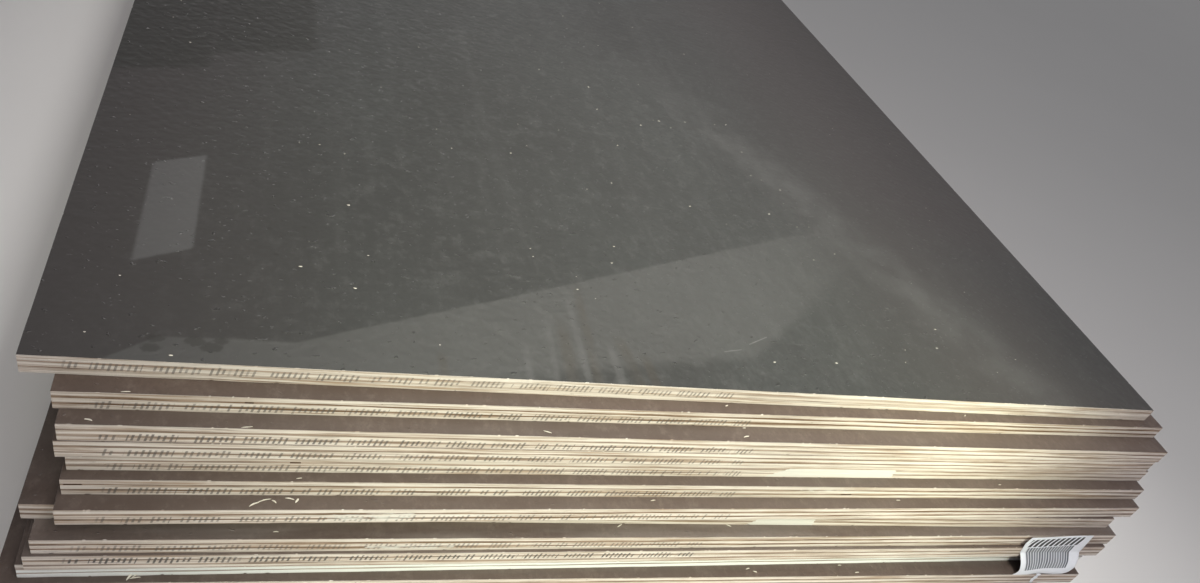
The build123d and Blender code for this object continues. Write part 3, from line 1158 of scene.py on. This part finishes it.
def tag_grid(columns, rows):
    """Points of the paper, left to right and from its foot up, with their place on it."""
    stuck = 0.5 * tag_slab.thick
    points, spots = [], []
    for i in range(rows):
        up = i / (rows - 1)
        left = tag_left + np.interp(up, UP_SHARES, LEFT_IN)
        right_end = tag_right - np.interp(up, UP_SHARES, RIGHT_IN)
        for j in range(columns):
            right = j / (columns - 1)
            top = tag_high - TOP_DROP * (1 - right) - TOP_WAVE * (1 + np.sin(7 * right))
            height = tag_low + (top - tag_low) * up
            drop = max(0.0, (stuck - height) / (stuck - tag_low))
            curl = (1 - (1 - drop) ** 2) * (tag_out - 0.0006)
            wavy = FOOT_WAVE * np.sin(9 * right + 5 * up) * min(1.0, 3 * drop)
            out = max(0.0002, min(curl + wavy, tag_out))
            points.append((left + (right_end - left) * right, -out, height))
            spots.append((right, up))
    return points, spots


def grid_faces(columns, rows, first=0):
    """Four-sided faces between the points of a grid."""
    faces = []
    for i in range(rows - 1):
        for j in range(columns - 1):
            a = first + i * columns + j
            faces.append((a, a + 1, a + columns + 1, a + columns))
    return faces


columns, rows = 41, 49
points, spots = tag_grid(columns, rows)
faces = grid_faces(columns, rows)

# %% [markdown]
# A narrow strip of the paper is torn loose at its foot. It hangs over the arris of the
# sheet on which the paper stands, so it first runs outwards and then down in front of
# that sheet's edge. Its line is a few points from the paper's foot, each with a width.

# %% The torn strip
STRIP_FROM = 0.047
STRIP_RUN = [
    (0.0, 0.0008, 0.0065), (0.97, 0.0007, 0.0070), (1.12, -0.003, 0.0060), (1.20, -0.008, 0.0075),
    (1.10, -0.0125, 0.0060), (1.25, -0.017, 0.0030),
]
foot_slab = slabs["sheet_12"]


def strip_rows(steps=19):
    """Left and right points of the strip, from the paper's foot down."""
    shares = np.linspace(0.0, len(STRIP_RUN) - 1.0, steps)
    forward, drops, widths = zip(*STRIP_RUN)
    to_world, to_foot = tag_slab.place, foot_slab.place.inverted()
    foot_top = to_world.inverted() @ foot_slab.place @ Vector((0, 0, foot_slab.thick))
    found = []
    for k, share in enumerate(shares):
        where = tag_left + STRIP_FROM + 0.0010 * np.sin(1.3 * share) + 0.0004 * np.sin(2.1 * k)
        foot_edge = to_foot @ (to_world @ Vector((where, -tag_out, tag_low)))
        reach = foot_edge.y + 0.0006
        out = tag_out - 0.0004 + reach * np.interp(share, range(len(forward)), forward)
        height = foot_top.z + np.interp(share, range(len(drops)), drops)
        half = 0.5 * np.interp(share, range(len(widths)), widths)
        twist = 0.0002 * np.sin(k)
        found.append([(where - half, -out, height), (where + half, -out + twist, height)])
    return found


first = len(points)
for pair in strip_rows():
    points += pair
    spots += [(0.02, 0.02), (0.04, 0.02)]
faces += [tuple(reversed(face)) for face in grid_faces(2, (len(points) - first) // 2, first)]
print("tag and strip:", len(points), "points")

# %% The tag's mesh
tag_mesh = bpy.data.meshes.new("unit_tag")
tag_mesh.from_pydata(points, [], faces)
layer = tag_mesh.uv_layers.new(name="across_tag")
for loop in tag_mesh.loops:
    layer.uv[loop.index].vector = spots[loop.vertex_index]
tag_mesh.shade_smooth()
tag_mesh.materials.append(paper)
tag = bpy.data.objects.new("paper_tag", tag_mesh)
bpy.context.scene.collection.objects.link(tag)
tag.matrix_world = tag_slab.place
thicken = tag.modifiers.new("paper_thickness", "SOLIDIFY")
thicken.thickness = 0.0002
thicken.offset = 0.0
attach(tag, "root")
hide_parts("unit_tag")
